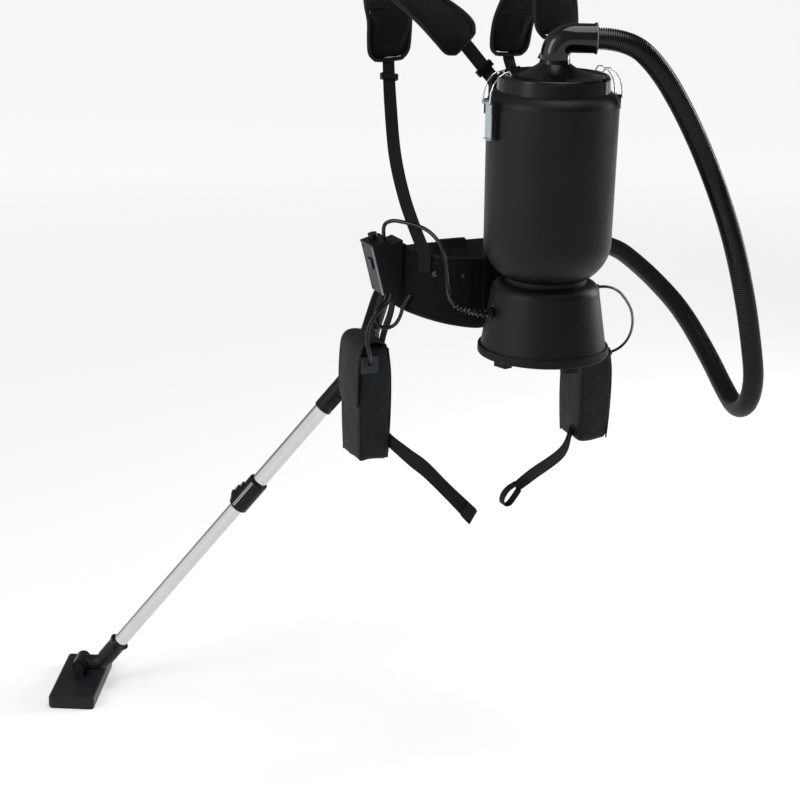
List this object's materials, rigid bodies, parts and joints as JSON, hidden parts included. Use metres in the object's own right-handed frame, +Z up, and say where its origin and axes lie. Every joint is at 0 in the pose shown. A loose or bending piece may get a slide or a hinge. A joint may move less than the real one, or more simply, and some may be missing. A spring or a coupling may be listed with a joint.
{
  "type": "backpack vacuum cleaner",
  "caption": "Backpack vacuum with a canister on a padded harness, ribbed suction hose, telescopic wand, floor tool, hip control box and battery pouches",
  "frame": {"origin": "middle of the belt face that lies on the wearer's lower back", "axes": "+X to the wearer's right, +Y forward out of the wearer's chest, +Z up"},
  "size_m": [1.3102, 1.0756, 1.6188],
  "materials": {
    "shell_charcoal": "fine leather grain, satin",
    "base_black": "plain moulded",
    "rubber_black": "matt rubber",
    "lid_charcoal": "smooth satin gloss",
    "bracket_steel": "dark painted sheet",
    "zinc_plate": "zinc plated",
    "bright_wire": "bright drawn wire",
    "filter_cloth": "felted cloth",
    "filter_foam": "open foam",
    "motor_case": "cast",
    "shaft_steel": "ground",
    "fan_alloy": "pressed",
    "frame_black": "moulded",
    "pad_cloth": "woven black cloth",
    "webbing_grey": "narrow woven webbing",
    "buckle_black": "moulded",
    "belt_cloth": "woven black cloth with a soft sheen",
    "rivet_black": "glossy dome",
    "pouch_cloth": "coated black cloth",
    "battery_case": "moulded",
    "box_black": "moulded",
    "cover_grey": "satin grey",
    "switch_black": "gloss",
    "knob_black": "gloss",
    "tube_chrome": "polished",
    "sleeve_black": "gloss moulded",
    "handle_black": "moulded",
    "neck_grey": "satin moulded",
    "head_charcoal": "satin moulded",
    "sole_black": "smooth",
    "bristle_black": "dense bristle",
    "cable_black": "glossy jacket",
    "plug_grey": "slate blue moulded",
    "hose_black": "glossy ribbed",
    "elbow_black": "high gloss"
  },
  "bodies": {
    "harness": {"barrel": "shell_charcoal", "motor_housing": "shell_charcoal", "base_plate": "base_black", "bumper_ring": "rubber_black", "feet": "rubber_black", "lid": "lid_charcoal", "lid_gasket": "rubber_black", "latch_brackets": "bracket_steel", "filter_bag": "filter_cloth", "motor_filter": "filter_foam", "motor": "motor_case", "back_frame": "frame_black", "back_pad": "pad_cloth", "shoulder_pad_left": "pad_cloth", "shoulder_pad_right": "pad_cloth", "shoulder_webbing": "webbing_grey", "side_webbing": "webbing_grey", "ladder_locks": "buckle_black", "belt_wing_left": "belt_cloth", "belt_wing_right": "belt_cloth", "belt_rivets": "rivet_black", "belt_webbing": "webbing_grey", "buckle_socket": "buckle_black", "buckle_clip": "buckle_black", "battery_pouch_left": "pouch_cloth", "battery_pouch_right": "pouch_cloth", "batteries": "battery_case", "pouch_hangers": "webbing_grey", "leg_straps": "webbing_grey", "control_box": "box_black", "control_cover": "cover_grey", "upper_tube": "tube_chrome", "adjuster_sleeve": "sleeve_black", "wand_handle": "handle_black", "cable_glands": "cable_black", "control_cable": "cable_black", "link_cable": "cable_black", "battery_cable_left": "cable_black", "battery_cable_right": "cable_black", "battery_plugs": "plug_grey", "suction_hose": "hose_black"},
    "elbow": {"elbow": "elbow_black"},
    "latch_lever_left": {"latch_lever_left": "zinc_plate"},
    "latch_bail_left": {"latch_bail_left": "bright_wire"},
    "latch_lever_right": {"latch_lever_right": "zinc_plate"},
    "latch_bail_right": {"latch_bail_right": "bright_wire"},
    "rotor": {"motor_shaft": "shaft_steel", "fan": "fan_alloy"},
    "power_switch": {"power_switch": "switch_black"},
    "speed_knob": {"speed_knob": "knob_black"},
    "wand_cuff": {"wand_cuff": "handle_black"},
    "relief_slider": {"relief_slider": "switch_black"},
    "adjuster_button": {"adjuster_button": "switch_black"},
    "lower_wand": {"lower_tube": "tube_chrome", "tool_neck": "neck_grey"},
    "tool_knuckle": {"tool_knuckle": "neck_grey"},
    "floor_head": {"floor_head": "head_charcoal", "sole_plate": "sole_black"},
    "brush_strips": {"brush_strips": "bristle_black"},
    "mode_pedal": {"mode_pedal": "switch_black"}
  },
  "joints": [
    {"name": "elbow_swivel", "type": "hinge", "parent": "harness", "child": "elbow", "pos_m": [0, -0.165, 0.46], "axis": [0, 0, 1], "range_deg": [-20, 20], "deforming": ["suction_hose"]},
    {"name": "lever_left_lift", "type": "hinge", "parent": "harness", "child": "latch_lever_left", "pos_m": [-0.128, -0.165, 0.38], "axis": [0, 1, 0], "range_deg": [0, 110]},
    {"name": "bail_left_swing", "type": "hinge", "parent": "latch_lever_left", "child": "latch_bail_left", "pos_m": [-0.136, -0.165, 0.38], "axis": [0, 1, 0], "range_deg": [-125, 0]},
    {"name": "lever_right_lift", "type": "hinge", "parent": "harness", "child": "latch_lever_right", "pos_m": [0.128, -0.165, 0.38], "axis": [0, -1, 0], "range_deg": [0, 110]},
    {"name": "bail_right_swing", "type": "hinge", "parent": "latch_lever_right", "child": "latch_bail_right", "pos_m": [0.136, -0.165, 0.38], "axis": [0, -1, 0], "range_deg": [-125, 0]},
    {"name": "rotor_spin", "type": "hinge", "parent": "harness", "child": "rotor", "pos_m": [0, -0.165, -0.04], "axis": [0, 0, 1], "continuous": true},
    {"name": "power_switch_rock", "type": "hinge", "parent": "harness", "child": "power_switch", "pos_m": [-0.2353, 0.095, 0.03648], "axis": [0, 1, 0], "range_deg": [-8, 8]},
    {"name": "speed_knob_turn", "type": "hinge", "parent": "harness", "child": "speed_knob", "pos_m": [-0.23253, 0.105, 0.08796], "axis": [-0.2588, 0, 0.9659], "range_deg": [0, 270]},
    {"name": "cuff_swivel", "type": "hinge", "parent": "harness", "child": "wand_cuff", "pos_m": [-0.13716, 0.35496, -0.22459], "axis": [0.5, 0.5, 0.7071], "continuous": true},
    {"name": "relief_slide", "type": "slide", "parent": "harness", "child": "relief_slider", "axis": [0.5136, -0.3451, 0.7856], "range_m": [0, 0.015]},
    {"name": "adjuster_slide", "type": "slide", "parent": "harness", "child": "adjuster_button", "axis": [0.5136, -0.3451, 0.7856], "range_m": [0, 0.005], "stiffness_N_per_m": 600, "springref_m": -0.002},
    {"name": "tube_slide", "type": "slide", "parent": "harness", "child": "lower_wand", "axis": [-0.5136, 0.3451, -0.7856], "range_m": [-0.23, 0.06]},
    {"name": "neck_swivel", "type": "hinge", "parent": "lower_wand", "child": "tool_knuckle", "pos_m": [-0.6074, 0.6439, -0.942], "axis": [0.5136, -0.3451, 0.7856], "range_deg": [-90, 90]},
    {"name": "head_tilt", "type": "hinge", "parent": "tool_knuckle", "child": "floor_head", "pos_m": [-0.66798, 0.67861, -0.975], "axis": [0.4602, 0.8878, 0], "range_deg": [-10, 60]},
    {"name": "brush_slide", "type": "slide", "parent": "floor_head", "child": "brush_strips", "axis": [0, 0, 1], "range_m": [0, 0.004]},
    {"name": "mode_pedal_rock", "type": "hinge", "parent": "floor_head", "child": "mode_pedal", "pos_m": [-0.65589, 0.74322, -1.004], "axis": [0.8878, -0.4602, 0], "range_deg": [0, 10]}
  ],
  "couplings": [
    {"joint": "bail_left_swing", "follows": "lever_left_lift", "ratio": -1.133},
    {"joint": "bail_right_swing", "follows": "lever_right_lift", "ratio": -1.133},
    {"joint": "mode_pedal_rock", "follows": "brush_slide", "rad_per_m": 43.6}
  ]
}
